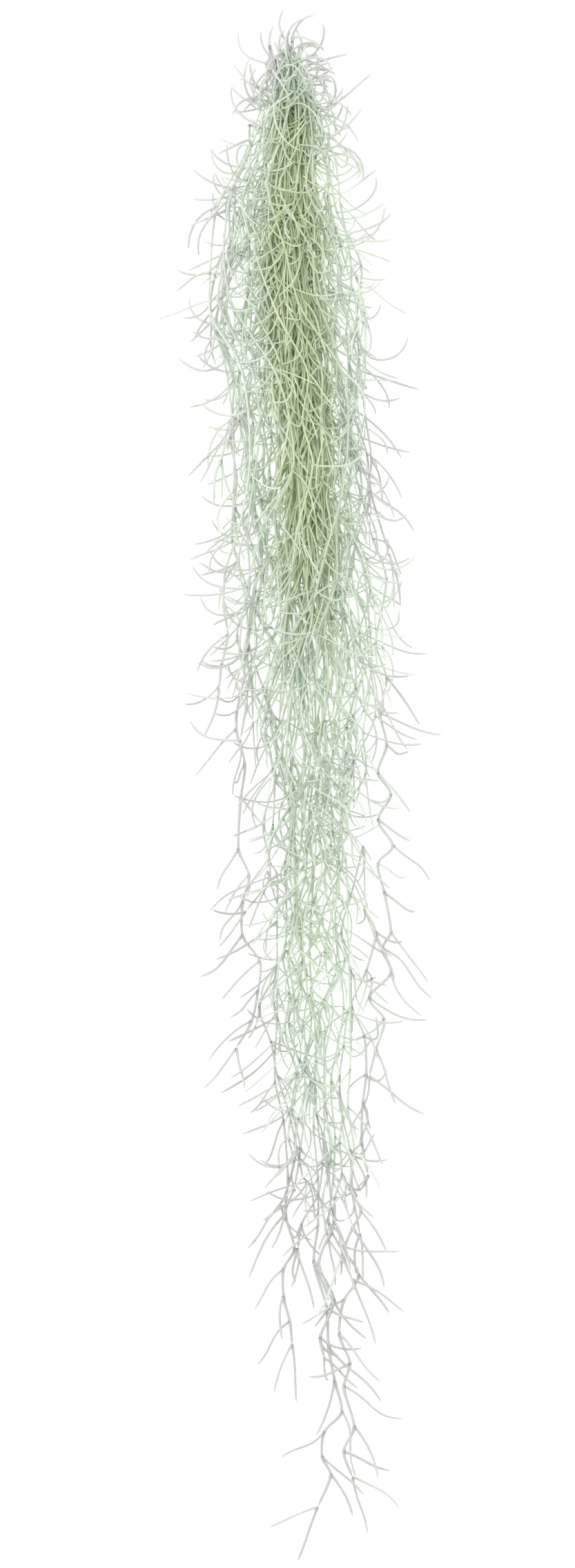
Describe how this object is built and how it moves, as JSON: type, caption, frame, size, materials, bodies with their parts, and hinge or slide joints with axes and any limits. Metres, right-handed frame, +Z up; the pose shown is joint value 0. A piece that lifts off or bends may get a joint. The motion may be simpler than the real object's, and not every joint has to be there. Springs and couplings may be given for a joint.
{
  "type": "spanish moss bunch",
  "caption": "Laid-down bunch of Spanish moss: kinked, thread-thin silvery green strands with fine leaves, gathered at one end, trailing at the other.",
  "frame": {"origin": "on the surface that the bunch lies on, under the middle of its bounding box", "axes": "+Y along the bunch, from the trailing tips to the gathered end; +Z up, away from the surface; +X to the right of that, seen from above"},
  "size_m": [0.1236, 0.723, 0.0584],
  "materials": {
    "core_moss": "matte, fine silvery scales, olive green",
    "outer_moss": "matte, fine silvery scales, pale sage green",
    "trailing_moss": "matte, fine silvery scales, grey green"
  },
  "bodies": {
    "root": {"strand_01": "core_moss", "strand_02": "core_moss", "strand_03": "core_moss", "strand_04": "core_moss", "strand_05": "core_moss", "strand_06": "core_moss", "strand_07": "core_moss", "strand_08": "core_moss", "strand_09": "core_moss", "strand_10": "core_moss", "strand_11": "core_moss", "strand_12": "core_moss", "strand_13": "core_moss", "strand_14": "core_moss", "strand_15": "core_moss", "strand_16": "core_moss", "strand_17": "core_moss", "strand_18": "core_moss", "strand_19": "core_moss", "strand_20": "outer_moss", "strand_21": "outer_moss", "strand_22": "outer_moss", "strand_23": "outer_moss", "strand_24": "outer_moss", "strand_25": "outer_moss", "strand_26": "outer_moss", "strand_27": "outer_moss", "strand_28": "outer_moss", "strand_29": "outer_moss", "strand_30": "outer_moss", "strand_31": "outer_moss", "strand_32": "outer_moss", "strand_33": "outer_moss", "strand_34": "outer_moss", "strand_35": "outer_moss", "strand_36": "outer_moss", "trailing_lower_left": "trailing_moss", "trailing_lower_right": "trailing_moss", "trailing_lowest": "trailing_moss", "trailing_stray_left": "trailing_moss", "trailing_stray_right": "trailing_moss", "trailing_stray_upper_left": "trailing_moss", "trailing_tail_middle": "trailing_moss", "trailing_tail_right": "trailing_moss"}
  },
  "joints": []
}
